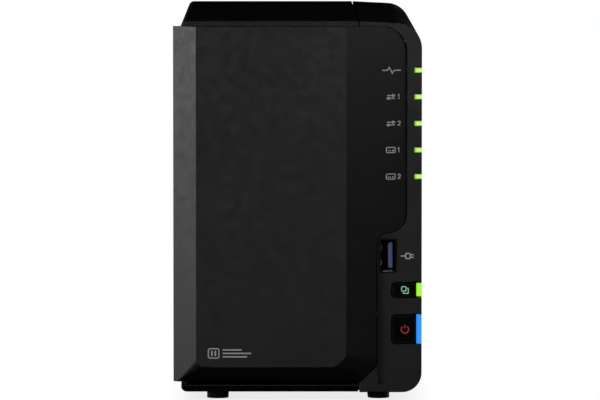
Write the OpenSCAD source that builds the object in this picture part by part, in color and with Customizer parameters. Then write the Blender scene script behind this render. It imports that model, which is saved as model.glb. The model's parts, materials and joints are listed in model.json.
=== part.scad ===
// Two-bay desktop NAS enclosure.
// Frame: +Z up, +Y towards the back, origin on the ground under the middle of the object. Millimetres.

/* [Overall] */
// Overall width, from the cover's left edge to the right shell
overall_w = 108; // [107.5:0.5:109]
// Overall depth, from the cover's face to the back edge of the shells
overall_d = 232.2; // [232.2:0.5:236.2]
// Overall height, feet included
overall_h = 165; // [165:0.5:167]
// Height of the rubber feet
foot_h = 3.5; // [3:0.5:4]

/* [Shells] */
// Wall thickness of the two outer shells
shell_wall = 2.2; // [2:0.1:2.2]
// Width of the groove between the two shells
seam_gap = 0.6; // [0.4:0.1:0.8]
// Corner radius of the left shell
left_corner_r = 2.5; // [2.5:0.1:3]
// Corner radius at the top right
top_right_r = 11; // [10.5:0.5:11.5]
// Corner radius at the bottom right
bottom_right_r = 8.5; // [8:0.5:9]
// Number of vent slots in a row on each side
side_vents = 23; // [9:2:23]

/* [Front cover] */
// How far the cover's face stands in front of the fascia
cover_proud = 5.5; // [5.5:0.1:5.8]
// Wall of the front cover
cover_wall = 2.2; // [2:0.1:2.2]
// Gap between the cover and the fascia
cover_gap = 0.35; // [0.3:0.05:0.4]
// Radius of the pegs that hold the cover
peg_r = 1.9; // [1.7:0.1:1.9]

/* [Drive bays] */
// Distance between the two drive bays
bay_pitch = 36.1; // [36.1:0.1:36.2]
// Height of a 3.5-inch drive standing on its side
drive_h = 101.6; // [101.6:0.1:101.8]
// Thickness of the steel cage
steel = 1; // [0.8:0.1:1]

/* [Fan] */
// Side of the square fan frame
fan_size = 92; // [90:1:92]
// Thickness of the fan
fan_t = 25; // [24:0.5:25]
// Number of fan blades
fan_blades = 7; // [5:2:9]

/* [Buttons] */
// Travel of the front buttons
button_travel = 0.8; // [0.5:0.1:0.8]

/* [Hidden] */
$fn = 48;

// Planes of the body
front_y = -overall_d / 2;              // face of the front cover
back_y = overall_d / 2;                // back edge of the shells
face_y = front_y + cover_proud;        // front plane of the fascia and the rims
right_x = overall_w / 2;
cover_left = -overall_w / 2;
body_left = cover_left + 3.4;
seam_x = 26.7;                         // where the two shells meet
top_slope = 0.049;                     // fall of the top to the right of the seam
fascia_t = 2.5;
panel_y = back_y - 2.9;                // front face of the recessed rear panel
panel_t = 1;
inner_left = body_left + shell_wall;
inner_right = right_x - shell_wall;
inner_bottom = foot_h + shell_wall;

// Front cover
cover_back = front_y + 11.2;
cover_bottom = 8;
cover_top = overall_h - shell_wall - 0.3;
cover_right_low = 34.2;                // right edge beside the buttons
cover_right_high = 47.3;               // right edge beside the indicators
cover_step_z = 73.3;                   // height of the step between the two
plateau_left = -43.8;
plateau_right = 21.2;
plateau_bottom = 15;
plateau_chamfer = 4.8;
base_y = front_y + 9.24;               // where the sloping facets end
base_bottom = 6.4;
base_chamfer = 8.5;
cover_pegs = [[-40, 156.2], [18, 156.2], [-40, 13], [18, 13]];

// Drive bays, counted from the left
bay_x = [-29.5, -29.5 + bay_pitch];
bay_z = 86;
tray_half_w = 16.6;
cage_front = cover_back + 3.2;
cage_back = 57;
cage_left = inner_left + 0.3;
cage_middle = (bay_x[0] + bay_x[1]) / 2 - steel / 2;
cage_right = bay_x[1] + 17.6;
cage_bottom = bay_z - 61.6;            // top face of the bottom plate
cage_top = bay_z + 61.6;               // under face of the top plate
bezel_y = cover_back + 1.6;            // front face of a tray
bezel_back = bezel_y + 4;
tray_end = 50;
rail_in = drive_h / 2 + 0.5;           // from the bay's middle to a tray's rail
rail_t = 3.2;
runner_t = 3.5;
handle_pivot = [bezel_y - 2.3, bay_z - 48];
handle_len = 96;
pin_y = [-64.5, 37.1];                 // fastening pins, 101.6 apart as on a 3.5-inch drive

// Electronics
board_x = 48.6;                        // component side of the mainboard
board_t = 1.6;
led_z = [for (i = [0:4]) 143.8 - i * 11.55];
led_x = 50.7;
usb_z = 63.2;
usb_x = [35.9, 43.1];
copy_z = [44.9, 51.5];
power_z = [24.7, 37.4];
button_x = [41, 51.6];
front_board_x = 43.3;
switch_y = cover_back + 6;             // tip of a front switch's actuator
lan_z = [60.4, 43.8];
rear_usb_z = 28.1;
reset_z = 18.8;
inlet_z = 11.7;
port_y = panel_y + 1.4;                // outer faces of the rear ports
fan_x = -2.2;
fan_z = 115.6;
fan_y = panel_y - fan_t;
fan_pitch = 82.5;                      // between the holes of a 92 mm fan
fan_duct_r = 44.3;
fan_hub_r = 16.5;
case_screw_at = [[-43.5, 63.5], [48.2, 84], [5, 10.2]];
board_screw_at = [[-55, 16], [-55, 144], [60, 144], [76, 92], [84, 16]];
foot_at = [[-34.8, -91.6], [35.5, -91.6], [-34.8, 96], [35.5, 96]];

// ---------- helpers ----------

// A box between two corners
module block(lo, hi) {
    translate(lo) cube(hi - lo);
}

// A drawing in X and Z, extruded along Y
module along_y(y0, y1) {
    translate([0, y1, 0]) rotate([90, 0, 0]) linear_extrude(y1 - y0) children();
}

// A drawing in Y and Z, extruded along X
module along_x(x0, x1) {
    translate([x0, 0, 0]) rotate([90, 0, 90]) linear_extrude(x1 - x0) children();
}

module rod_y(x, z, r, y0, y1) {
    translate([x, y1, z]) rotate([90, 0, 0]) cylinder(r = r, h = y1 - y0);
}

module rod_x(y, z, r, x0, x1) {
    translate([x0, y, z]) rotate([0, 90, 0]) cylinder(r = r, h = x1 - x0);
}

// A rectangle with true arcs at its corners
module round_rect(lo, hi, r) {
    translate([lo.x + r, lo.y]) square([hi.x - lo.x - 2 * r, hi.y - lo.y]);
    translate([lo.x, lo.y + r]) square([hi.x - lo.x, hi.y - lo.y - 2 * r]);
    for (x = [lo.x + r, hi.x - r], y = [lo.y + r, hi.y - r]) translate([x, y]) circle(r);
}

// A slot with round ends, standing on its end, centred at c
module upright_slot(c, w, h) {
    translate(c - [w / 2, (h - w) / 2]) square([w, h - w]);
    for (s = [-1, 1]) translate(c + [0, s * (h - w) / 2]) circle(w / 2);
}

// ---------- outer shells ----------

// Cross-section of the body in X and Z, smaller by inset all round
module body_profile(inset = 0) {
    left = body_left + inset;
    right = right_x - inset;
    bottom = foot_h + inset;
    top = overall_h - inset;
    rl = max(left_corner_r - inset, 0.3);
    rt = top_right_r - inset;
    rb = bottom_right_r - inset;
    slope = atan(top_slope);
    arc = [right_x - top_right_r,
           overall_h - (right_x - top_right_r - seam_x) * top_slope - top_right_r / cos(slope)];
    polygon([
        [left, bottom + rl], [left + rl, bottom], [right - rb, bottom], [right, bottom + rb],
        [right, arc.y], arc + rt * [sin(slope), cos(slope)],
        [seam_x, top], [left + rl, top], [left, top - rl],
    ]);
    translate([left + rl, bottom + rl]) circle(rl);
    translate([left + rl, top - rl]) circle(rl);
    translate([right - rb, bottom + rb]) circle(rb);
    translate(arc) circle(rt);
}

// The part of the XZ plane to the left or to the right of the seam
module seam_side(right) {
    translate([right ? seam_x + seam_gap / 2 : -100, -10])
        square([right ? 100 : 100 + seam_x - seam_gap / 2, 200]);
}

// Rows of vent slots in a side wall, drawn in Y and Z
module side_vent_slots() {
    for (i = [0 : side_vents - 1], row = [-1, 1])
        upright_slot([(i - (side_vents - 1) / 2) * 5.6 + 6, bay_z + row * 16.5], 2.4, 27);
}

// Slots in the bottom wall under the cage
module bottom_vents(x0, n) {
    for (i = [0 : n - 1]) block([x0 + i * 6, -45, foot_h - 1], [x0 + i * 6 + 2.4, 45, foot_h + 4]);
}

// A tab behind the rear panel that takes a case screw
module screw_tab(at, lo, hi) {
    difference() {
        block([lo.x, panel_y - 7, lo.y], [hi.x, panel_y, hi.y]);
        rod_y(at.x, at.y, 1.25, panel_y - 8, panel_y + 1);
    }
}

module foot_sockets(right) {
    for (p = foot_at) if ((p.x > 0) == right)
        translate([p.x, p.y, foot_h - 1]) cylinder(r = 2.4, h = shell_wall + 2);
}

module left_shell() color([0.03, 0.03, 0.03]) {
    lap_top = overall_h - shell_wall - 1;
    lap_back = panel_y - 0.3;
    difference() {
        union() {
            along_y(face_y, back_y) difference() {
                intersection() { body_profile(); seam_side(false); }
                body_profile(shell_wall);
            }
            // laps under the right shell, top and bottom
            block([seam_x - 3, cage_front, lap_top], [seam_x - 1, lap_back, lap_top + 1]);
            block([seam_x - 3, cage_front, lap_top], [seam_x + 2.4, lap_back, lap_top + 0.8]);
            block([seam_x - 3, face_y + 6, inner_bottom], [seam_x - 1, lap_back, inner_bottom + 1]);
            block([seam_x - 3, face_y + 6, inner_bottom + 0.2], [seam_x + 2.4, lap_back, inner_bottom + 1]);
            // bottom rim in front, and a tongue that closes the seam beside it
            block([body_left + 2, face_y, inner_bottom - 0.5],
                  [seam_x - seam_gap / 2, face_y + 3, inner_bottom + 1]);
            block([seam_x - 2, face_y + 0.9, foot_h + 0.7],
                  [seam_x + seam_gap / 2 - 0.02, face_y + 7, inner_bottom + 0.9]);
        }
        block([body_left - 1, face_y - 1, inner_bottom + 1],
              [inner_left + 0.2, cover_back + 0.3, overall_h - shell_wall]);
        // the bottom edge in front turns under
        along_x(body_left - 1, seam_x + seam_gap) polygon([
            [face_y - 1, foot_h - 1], [face_y + 3.7, foot_h - 1], [face_y, inner_bottom + 0.7],
            [face_y - 1, inner_bottom + 0.7],
        ]);
        along_x(body_left - 1, inner_left + 1) side_vent_slots();
        bottom_vents(-38, 10);
        foot_sockets(false);
    }
    side = case_screw_at[0];
    low = case_screw_at[2];
    screw_tab(side, [inner_left - 0.5, side.y - 4], side + [4, 4]);
    screw_tab(low, [low.x - 4, inner_bottom - 0.5], low + [4, 4]);
}

// Outline of the front cover in X and Z, larger by g all round
module cover_outline(g = 0) {
    low = cover_right_low + g;
    high = cover_right_high + g;
    bottom = cover_bottom - g;
    top = cover_top + g;
    step = cover_step_z - g;
    cut = 7.6 - 0.6 * g;
    top_r = 10.5 + g;
    step_r = 8 + g;
    inner_r = 5.1 - g;
    polygon([
        [cover_left - g, bottom], [low - cut, bottom], [low, bottom + cut],
        [low, step + 1], [high - step_r, step], [high, step + step_r],
        [high, top - top_r], [high - top_r, top], [cover_left - g, top],
    ]);
    translate([high - step_r, step + step_r]) circle(step_r);
    translate([high - top_r, top - top_r]) circle(top_r);
    difference() {
        translate([low - 1, step - inner_r]) square([inner_r + 1, inner_r + 1.5]);
        translate([low + inner_r, step - inner_r]) circle(inner_r);
    }
}

// Left edge of the button panel, which rises to meet the cover's slope
module fascia_cove() {
    height = 0.72;
    width = 4.3;
    x0 = cover_right_low + cover_gap;
    intersection() {
        translate([0, 0, foot_h + 4]) linear_extrude(cover_step_z - foot_h) polygon([
            for (i = [0:6]) [x0 + i / 6 * width, face_y - height * pow(1 - i / 6, 2)],
            [x0 + width, face_y + 1], [x0, face_y + 1],
        ]);
        along_y(face_y - 2, face_y + 2) difference() {
            cover_outline(cover_gap + width);
            cover_outline(cover_gap);
        }
    }
}

// Opening for a front button, open at the right edge where its light bar sits
module button_opening(z) {
    along_y(face_y - 1, face_y + fascia_t + 1)
        round_rect([button_x[0] - 0.3, z[0] - 0.2], [button_x[1] + 3, z[1] + 0.2], 1.8);
    block([button_x[1], face_y - 1, z[0] - 0.02], [right_x + 1, face_y + 3.8, z[1] + 0.02]);
}

module right_shell() color([0.035, 0.035, 0.035]) {
    difference() {
        union() {
            along_y(face_y, back_y) difference() {
                intersection() { body_profile(); seam_side(true); }
                body_profile(shell_wall);
            }
            along_y(face_y, face_y + fascia_t) intersection() { body_profile(); seam_side(true); }
            along_y(face_y, cover_back + 0.3)
                intersection() { body_profile(1); seam_side(true); cover_outline(cover_gap + 1.4); }
            fascia_cove();
            for (p = board_screw_at) rod_x(p[0], p[1], 3.2, board_x + board_t, inner_right + 1);
        }
        along_y(front_y, cover_back + 0.4) cover_outline(cover_gap);
        for (z = led_z)
            block([led_x - 0.02, face_y - 1, z - 1.22], [right_x + 1, face_y + 3.3, z + 1.22]);
        button_opening(copy_z);
        button_opening(power_z);
        along_y(face_y - 1, cover_back + 1)
            round_rect([usb_x[0] - 0.25, usb_z - 7.45], [usb_x[1] + 0.25, usb_z + 7.45], 0.6);
        along_x(inner_right - 1, right_x + 1) side_vent_slots();
        for (p = board_screw_at) rod_x(p[0], p[1], 1.2, board_x, right_x - 0.8);
        foot_sockets(true);
    }
    side = case_screw_at[1];
    screw_tab(side, side - [3, 4], [inner_right + 0.5, side.y + 4]);
}

module feet() color([0.02, 0.02, 0.02]) {
    for (p = foot_at) {
        linear_extrude(foot_h) upright_slot(p, 9.4, 22);
        translate([p.x, p.y, foot_h - 0.5]) cylinder(r = 2.4, h = shell_wall + 0.5);
    }
}

// ---------- front cover ----------

// The faceted block of the cover, with its face at y0 and its sides drawn in by inset
module cover_wedge(y0, y_base, y_back, inset) {
    r = 3.2;
    hull() {
        along_y(y0, y0 + 0.01) {
            translate([plateau_left + inset + r, plateau_bottom + inset + r]) circle(r);
            polygon([
                [plateau_left + inset + r, plateau_bottom + inset],
                [plateau_right - plateau_chamfer - inset * 0.4, plateau_bottom + inset],
                [plateau_right - inset, plateau_bottom + plateau_chamfer + inset * 0.4],
                [plateau_right - inset, overall_h + 1], [plateau_left + inset, overall_h + 1],
                [plateau_left + inset, plateau_bottom + inset + r],
            ]);
        }
        along_y(y_base, y_back) polygon([
            [cover_left + inset, base_bottom + inset],
            [cover_right_high - base_chamfer - inset * 0.4, base_bottom + inset],
            [cover_right_high - inset, base_bottom + base_chamfer + inset * 0.4],
            [cover_right_high - inset, overall_h + 1], [cover_left + inset, overall_h + 1],
        ]);
    }
}

module cover_ribs() {
    inner_y = front_y + cover_wall;
    for (z = [34, 58, 82, 106, 130]) block([-60, inner_y - 3, z], [60, inner_y + 2.6, z + 1.2]);
    for (x = [-33, -15, 3]) block([x, inner_y - 3, 0], [x + 1.2, inner_y + 2.6, overall_h]);
}

module front_cover() color([0.045, 0.045, 0.045]) {
    difference() {
        intersection() {
            cover_wedge(front_y, base_y, cover_back, 0);
            along_y(front_y - 1, cover_back) cover_outline();
        }
        difference() {
            intersection() {
                cover_wedge(front_y + cover_wall, base_y + cover_wall, cover_back + 2, 1);
                along_y(front_y, cover_back + 1) cover_outline(-2);
            }
            for (p = cover_pegs) rod_y(p.x, p.y, 3.4, front_y, cover_back - 0.3);
            cover_ribs();
        }
    }
    for (p = cover_pegs) rod_y(p.x, p.y, peg_r, cover_back - 1, cover_back + 6.4);
}

// ---------- frame behind the cover ----------

module front_frame() color([0.05, 0.05, 0.05]) {
    y0 = cover_back + 0.5;
    y1 = cage_front - 0.2;
    difference() {
        along_y(y0, y1) difference() {
            intersection() {
                cover_outline();
                round_rect([inner_left + 0.2, inner_bottom + 1.2],
                           [front_board_x - 0.5, overall_h - shell_wall - 0.8], 0.2);
            }
            for (x = bay_x)
                round_rect([x - 17.35, bay_z - 60.5], [x + 17.35, bay_z + 60.5], 1);
            for (z = [88 : 7 : 144]) round_rect([28, z], [39, z + 3], 1.4);
            for (z = [26 : 7 : 61]) round_rect([27.4, z], [32.4, z + 3], 1.4);
        }
        for (p = cover_pegs) rod_y(p.x, p.y, 3.2, y0 - 1, y1 + 1);
    }
}

module cover_grommets() color([0.08, 0.08, 0.08]) {
    y0 = cover_back + 0.5;
    for (p = cover_pegs) difference() {
        union() {
            rod_y(p.x, p.y, 3.2, y0, cage_front - 0.2);
            rod_y(p.x, p.y, 4.2, y0 - 0.4, y0);
        }
        rod_y(p.x, p.y, peg_r + 0.08, y0 - 1, cage_front + 2);
    }
}

// ---------- steel cage ----------

// A cage wall with three big windows and a row of round holes
module cage_wall(x0, notch) {
    color([0.62, 0.64, 0.66]) along_x(x0, x0 + steel) difference() {
        translate([cage_front, cage_bottom]) square([cage_back - cage_front, cage_top - cage_bottom]);
        for (y = [-86, -36, 14])
            round_rect([y, bay_z - 42], [y + (y > 0 ? 32 : 40), bay_z + 42], 4);
        for (y = [-92 : 12 : 46], s = [-1, 1]) translate([y, bay_z + s * 51]) circle(2);
    }
}

module cage_left_wall() cage_wall(cage_left);
module cage_middle_wall() cage_wall(cage_middle);
module cage_right_wall() cage_wall(cage_right);

module cage_plate(z0) {
    translate([0, 0, z0]) linear_extrude(steel) difference() {
        translate([cage_left, cage_front]) square([cage_right + steel - cage_left, cage_back - cage_front]);
        for (x = bay_x, y = [-84 : 22 : 40], s = [-1, 1])
            translate([x + s * 13.5, y]) upright_slot([0, 0], 3, 14);
    }
}

module cage_top_plate() color([0.62, 0.64, 0.66]) cage_plate(cage_top);

module cage_bottom_plate() color([0.62, 0.64, 0.66]) {
    cage_plate(cage_bottom - steel);
    for (x = [cage_left + 3, cage_right - 6])
        block([x, cage_front + 6, inner_bottom], [x + 1.2, cage_back - 6, cage_bottom - steel]);
}

// Plastic channels that the trays slide in, one above and one below each tray
module tray_guides() color([0.12, 0.12, 0.12]) {
    base = cage_top - bay_z - rail_in - rail_t - runner_t - 0.15;
    for (x = bay_x, s = [-1, 1]) translate([x, 0, bay_z]) scale([1, 1, s]) {
        block([-11, cage_front + 3, cage_top - bay_z - base], [11, cage_back - 8, cage_top - bay_z]);
        for (side = [-1, 1]) translate([side * 9.9, 0, 0])
            block([-1.1, cage_front + 3, rail_in + rail_t + 0.4], [1.1, cage_back - 8, cage_top - bay_z]);
    }
}

// ---------- drive trays ----------

// Holes for a 2.5-inch drive in the bed of a tray, in Y and Z
module small_drive_holes() {
    for (y = [-38.3, 38.3], z = [-30.86, 30.86]) translate([-22 + y, bay_z + z]) circle(1.7);
}

module tray_bed() {
    along_x(-tray_half_w, -tray_half_w + 2) difference() {
        translate([bezel_back - 0.5, bay_z - rail_in - 1])
            square([tray_end - bezel_back + 0.5, 2 * rail_in + 2]);
        for (y = [-80, 22]) round_rect([y, bay_z - 40], [y + 14, bay_z + 40], 3);
        for (y = [-54, -28, -2]) round_rect([y, bay_z - 24], [y + 16, bay_z + 24], 3);
        small_drive_holes();
    }
}

module tray_frame() color([0.09, 0.09, 0.095]) {
    outer = rail_in + rail_t;
    tray_bed();
    for (s = [-1, 1]) translate([0, 0, bay_z]) scale([1, 1, s]) difference() {
        block([-tray_half_w, bezel_back - 0.5, rail_in], [13, tray_end, outer]);
        for (y = pin_y) translate([-8, y, rail_in - 1]) cylinder(r = 1.6, h = rail_t + 2);
        for (y = [-88 : 18 : 36]) block([4, y, rail_in - 1], [9, y + 11, outer + 1]);
    }
    along_y(bezel_y, bezel_back) difference() {
        round_rect([-tray_half_w, bay_z - 59], [tray_half_w, bay_z + 59], 1.5);
        translate([-7.4, handle_pivot[1] - 4.6]) square([14.8, 9.2]);
        for (z = [-50 : 10 : 50], s = [-1, 1]) upright_slot([s * 12.4, bay_z + z], 3.4, 8);
        for (z = [-32 : 10 : 38]) upright_slot([0, bay_z + z], 6, 7.5);
    }
    // ears that hold the handle's hinge pin
    for (s = [-1, 1]) translate([s * 8.9, 0, 0]) difference() {
        union() {
            rod_x(handle_pivot[0], handle_pivot[1], 2.3, -1.2, 1.2);
            block([-1.2, handle_pivot[0], handle_pivot[1] - 2.3],
                  [1.2, bezel_y + 1, handle_pivot[1] + 2.3]);
        }
        rod_x(handle_pivot[0], handle_pivot[1], 1.2, -2, 2);
    }
}

module tray_handle() color([0.16, 0.16, 0.17]) {
    y = handle_pivot[0];
    z = handle_pivot[1];
    difference() {
        union() {
            along_y(y - 1.9, y + 1.9) difference() {
                round_rect([-7, z], [7, z + handle_len], 2.5);
                round_rect([-3.6, z + 8], [3.6, z + handle_len - 15], 2);
            }
            rod_x(y, z, 2.3, -7, 7);
            block([-7, y - 0.2, z - 3.2], [7, y + 1.7, z]);
            rod_y(0, z + handle_len - 7.5, 3, y - 2.4, y);
        }
        rod_x(y, z, 1.25, -8, 8);
    }
}

module tray_hinge_pin() color([0.75, 0.76, 0.78]) rod_x(handle_pivot[0], handle_pivot[1], 1.2, -10.1, 10.1);

// Clip-on strips whose pins enter the side holes of a 3.5-inch drive
module tray_fastening_panels() color([0.2, 0.21, 0.23]) {
    outer = rail_in + rail_t;
    for (s = [-1, 1]) translate([0, 0, bay_z]) scale([1, 1, s]) {
        difference() {
            block([-8.6, pin_y[0] - 12, outer], [8.6, pin_y[1] + 9, outer + runner_t]);
            for (y = [-48 : 15 : 18]) block([-5, y, outer + 1.2], [5, y + 9, outer + runner_t + 1]);
        }
        for (y = pin_y) translate([-8, y, rail_in - 2.6]) cylinder(r = 1.5, h = outer - rail_in + 2.8);
    }
}

module at_bay(i) {
    translate([bay_x[i], 0, 0]) children();
}

// ---------- fascia: indicators, buttons, port ----------

module status_light_pipes() color([0.6, 0.95, 0.25]) {
    right = inner_right - 0.2;
    back = cover_back + 3.5;
    for (z = led_z) {
        block([led_x, face_y, z - 1.2], [right_x, face_y + 3.2, z + 1.2]);
        block([led_x - 1.4, face_y + fascia_t + 0.1, z - 1.2], [right, back, z + 1.2]);
        block([front_board_x + 3, cover_back + 0.7, z - 1.2], [right, back, z + 1.2]);
    }
}

module light_bar(z) {
    block([button_x[1] + 0.15, face_y, z[0]], [right_x, face_y + 3.7, z[1]]);
}

module copy_light_bar() color([0.6, 0.96, 0.2]) light_bar(copy_z + [0.5, -0.6]);
module power_light_bar() color([0.13, 0.55, 0.97]) light_bar(power_z);

// A button's cap and the stem behind it
module front_button(z) {
    mid = (z[0] + z[1]) / 2;
    along_y(face_y - 0.5, face_y + 3.6)
        round_rect([button_x[0], z[0] + 0.1], [button_x[1], z[1] - 0.1], 1.6);
    block([button_x[0] + 5.4, face_y + 3, mid - 1.6], [button_x[0] + 8, switch_y - 0.9, mid + 1.6]);
}

module copy_button() color([0.02, 0.03, 0.02]) front_button(copy_z);
module power_button() color([0.03, 0.02, 0.02]) front_button(power_z);

// Right-angle tactile switches behind the two buttons
module button_switches() color([0.1, 0.1, 0.1]) {
    x = front_board_x + board_t;
    for (z = [copy_z, power_z]) translate([0, 0, (z[0] + z[1]) / 2]) {
        block([x, switch_y + 0.8, -3.1], [x + 6, switch_y + 4.6, 3.1]);
        rod_y(x + 3, 0, 1.4, switch_y, switch_y + 1);
    }
}

module front_board() color([0.02, 0.13, 0.05]) {
    y0 = cover_back + 0.6;
    along_x(front_board_x, front_board_x + board_t) difference() {
        translate([y0, 20]) square([38, 132]);
        for (p = [[y0 + 30, 26], [y0 + 30, 146]]) translate(p) circle(1.6);
    }
}

module indicator_leds() color([0.85, 0.86, 0.8]) {
    x = front_board_x + board_t;
    for (z = led_z) block([x, cover_back + 0.8, z - 0.9], [x + 1.2, cover_back + 3.2, z + 0.9]);
}

// A stamped USB socket shell, its mouth at y0 and its body running the way of dir
module usb_shell(x0, z, y0, dir) {
    translate([x0, y0, z]) scale([1, dir, 1]) difference() {
        along_y(0, 17.5) round_rect([0, -7.25], [7.2, 7.25], 0.5);
        along_y(-1, 16.8) round_rect([0.4, -6.85], [6.8, 6.85], 0.3);
        for (s = [-1, 1]) block([-1, 5, s * 3.2 - 0.8], [0.6, 11, s * 3.2 + 0.8]);
    }
}

module usb_shells() color([0.7, 0.71, 0.72]) {
    usb_shell(usb_x[0], usb_z, face_y + 0.3, 1);
    usb_shell(board_x - 7.2, rear_usb_z, port_y, -1);
}

module usb_tongue(x0, z, y0, dir) {
    translate([x0, y0, z]) scale([1, dir, 1]) {
        along_y(1.4, 16.8) round_rect([3.6, -5.6], [5.4, 5.6], 0.3);
        block([0.4, 15, -6.85], [6.8, 16.8, 6.85]);
    }
}

module usb_tongues() color([0.1, 0.2, 0.7]) {
    usb_tongue(usb_x[0], usb_z, face_y + 0.3, 1);
    usb_tongue(board_x - 7.2, rear_usb_z, port_y, -1);
}

// Flat cable from the front board to the mainboard
module front_ribbon() color([0.85, 0.85, 0.82]) {
    x = front_board_x + board_t;
    z0 = 96;
    block([x, -71, z0], [x + 0.35, -66, z0 + 14]);
    block([x, -66.4, z0], [x + 0.35, -58, z0 + 14]);
    block([x, -58.35, z0], [board_x - 2, -58, z0 + 14]);
    block([board_x - 2.35, -58.35, z0], [board_x - 2, -50, z0 + 14]);
    block([board_x - 2.6, -52, z0 - 1], [board_x, -46, z0 + 15]);
}

// ---------- mainboard ----------

module mainboard() color([0.02, 0.13, 0.05]) {
    along_x(board_x, board_x + board_t) difference() {
        union() {
            translate([-60, 8.4]) square([panel_y - 0.8 + 60, 63.6]);
            translate([-60, 8.4]) square([163, 140.8]);
        }
        for (p = board_screw_at) translate(p) circle(1.7);
    }
}

module processor() color([0.25, 0.26, 0.28]) {
    block([board_x - 1.1, -14, 88], [board_x, 10, 112]);
    block([board_x - 1.7, -8, 94], [board_x - 1.1, 4, 106]);
}

module heatsink() color([0.55, 0.56, 0.58]) {
    x1 = board_x - 1.7;
    block([x1 - 2, -28, 74], [x1, 24, 126]);
    for (i = [0:12]) block([x1 - 15, -28 + i * 4.2, 74], [x1 - 2, -28 + i * 4.2 + 1.3, 126]);
}

module memory_socket() color([0.1, 0.1, 0.1]) {
    difference() {
        block([board_x - 5.2, -34, 60], [board_x, 36, 66.5]);
        block([board_x - 4.2, -31.5, 61.5], [board_x - 2.8, 33.5, 67]);
    }
    for (y = [-34, 33.6]) block([board_x - 4.4, y, 30], [board_x, y + 2.4, 60]);
}

module board_chips() color([0.04, 0.04, 0.045]) {
    for (y = [-44, -30, 30, 42]) block([board_x - 1, y, 134], [board_x, y + 10, 146]);
    block([board_x - 1.4, 40, 92], [board_x, 54, 106]);
    block([board_x - 1, 62, 66], [board_x, 70, 74]);
    block([board_x - 1, 62, 46], [board_x, 70, 54]);
    block([board_x - 3.2, -56, 30], [board_x, -49, 37]);
    block([board_x - 3.2, -56, 42], [board_x, -49, 49]);
    block([board_x - 3.2, 74, 22], [board_x, 81, 29]);
}

module board_capacitors() color([0.75, 0.76, 0.78]) {
    for (p = [[-50, 60], [-50, 68], [-50, 76], [84, 34], [84, 42], [68, 12], [78, 12]])
        rod_x(p[0], p[1], 3.1, board_x - 7.7, board_x);
}

module coin_cell() color([0.78, 0.78, 0.8]) rod_x(50, 122, 6.25, board_x - 3.6, board_x - 1.6);

module coin_cell_holder() color([0.08, 0.08, 0.08]) difference() {
    rod_x(50, 122, 8, board_x - 3.4, board_x);
    rod_x(50, 122, 6.35, board_x - 4, board_x - 1.6);
}

// ---------- rear ports ----------

module lan_jacks() color([0.68, 0.69, 0.7]) {
    for (z = lan_z) difference() {
        block([board_x - 13.5, port_y - 21.5, z - 8], [board_x, port_y, z + 8]);
        block([board_x - 11.6, port_y - 14, z - 5.9], [board_x - 3.4, port_y + 1, z + 5.9]);
        block([board_x - 12.6, port_y - 14, z - 3], [board_x - 11.5, port_y + 1, z + 3]);
    }
}

module power_inlet() color([0.03, 0.03, 0.03]) difference() {
    block([board_x - 11, port_y - 14, inlet_z - 4.5], [board_x, port_y, inlet_z + 4.5]);
    rod_y(board_x - 6, inlet_z, 2.9, port_y - 10, port_y + 1);
}

module power_inlet_pin() color([0.8, 0.8, 0.78])
    rod_y(board_x - 6, inlet_z, 1.05, port_y - 10, port_y - 1.5);

module reset_switch() color([0.1, 0.1, 0.1]) difference() {
    block([board_x - 4.4, panel_y - 6, reset_z - 1.9], [board_x, panel_y - 1.6, reset_z + 1.9]);
    rod_y(board_x - 2.6, reset_z, 1.1, panel_y - 3.6, panel_y);
}

module reset_plunger() color([0.7, 0.15, 0.1])
    rod_y(board_x - 2.6, reset_z, 1, panel_y - 2.9, panel_y - 0.4);

// ---------- backplane ----------

module backplane() color([0.02, 0.13, 0.05]) {
    along_y(cage_back, cage_back + board_t) difference() {
        union() {
            translate([-46, 50]) square([70, 60]);
            translate([20, 62]) square([26, 28]);
        }
        for (x = bay_x) round_rect([x - 3, 54], [x + 12, 106], 2);
    }
}

module backplane_slot() color([0.05, 0.05, 0.05]) difference() {
    block([board_x - 8, cage_back - 2.4, 60], [board_x, cage_back + board_t + 2.4, 92]);
    block([board_x - 9, cage_back - 0.05, 61.9], [board_x - 2.5, cage_back + board_t + 0.05, 90.1]);
}

module drive_connectors() color([0.05, 0.05, 0.05]) {
    for (x = bay_x) {
        block([x - 13.2, cage_back - 5, 60], [x - 7.4, cage_back, 102]);
        block([x - 11.4, cage_back - 8, 62], [x - 10, cage_back - 5, 80]);
        block([x - 11.4, cage_back - 8, 83], [x - 10, cage_back - 5, 93]);
    }
}

// ---------- rear panel and fan ----------

// Honeycomb of hexagons inside the fan's circle
module honeycomb(radius, pitch, across) {
    rows = floor(radius / (pitch * sqrt(3) / 2));
    for (j = [-rows : rows], i = [-rows - 1 : rows + 1]) {
        c = [(i + (abs(j) % 2) / 2) * pitch, j * pitch * sqrt(3) / 2];
        if (norm(c) < radius - across / 2) translate(c) rotate(30) circle(across / sqrt(3), $fn = 6);
    }
}

module rear_panel() color([0.06, 0.06, 0.065]) {
    difference() {
        along_y(panel_y, panel_y + panel_t) difference() {
            body_profile(shell_wall + 0.15);
            translate([fan_x, fan_z]) honeycomb(fan_duct_r - 0.8, 6.6, 5.5);
            for (z = lan_z) translate([board_x - 13.7, z - 8.2]) square([13.8, 16.4]);
            translate([board_x - 7.4, rear_usb_z - 7.45]) square([7.5, 14.9]);
            translate([board_x - 11.2, inlet_z - 4.7]) square([11.3, 9.4]);
            translate([board_x - 2.6, reset_z]) circle(1.1);
            round_rect([-41.5, 16], [-38.3, 23.4], 0.6);   // slot for a cable lock
            for (i = [0:11]) upright_slot([-30 + i * 5, 40], 2.6, 34);
        }
        for (x = [-1, 1], z = [-1, 1])
            rod_y(fan_x + x * fan_pitch / 2, fan_z + z * fan_pitch / 2, 2.15, panel_y - 1, panel_y + 3);
        for (p = case_screw_at) rod_y(p.x, p.y, 1.6, panel_y - 1, panel_y + 3);
    }
}

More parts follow.
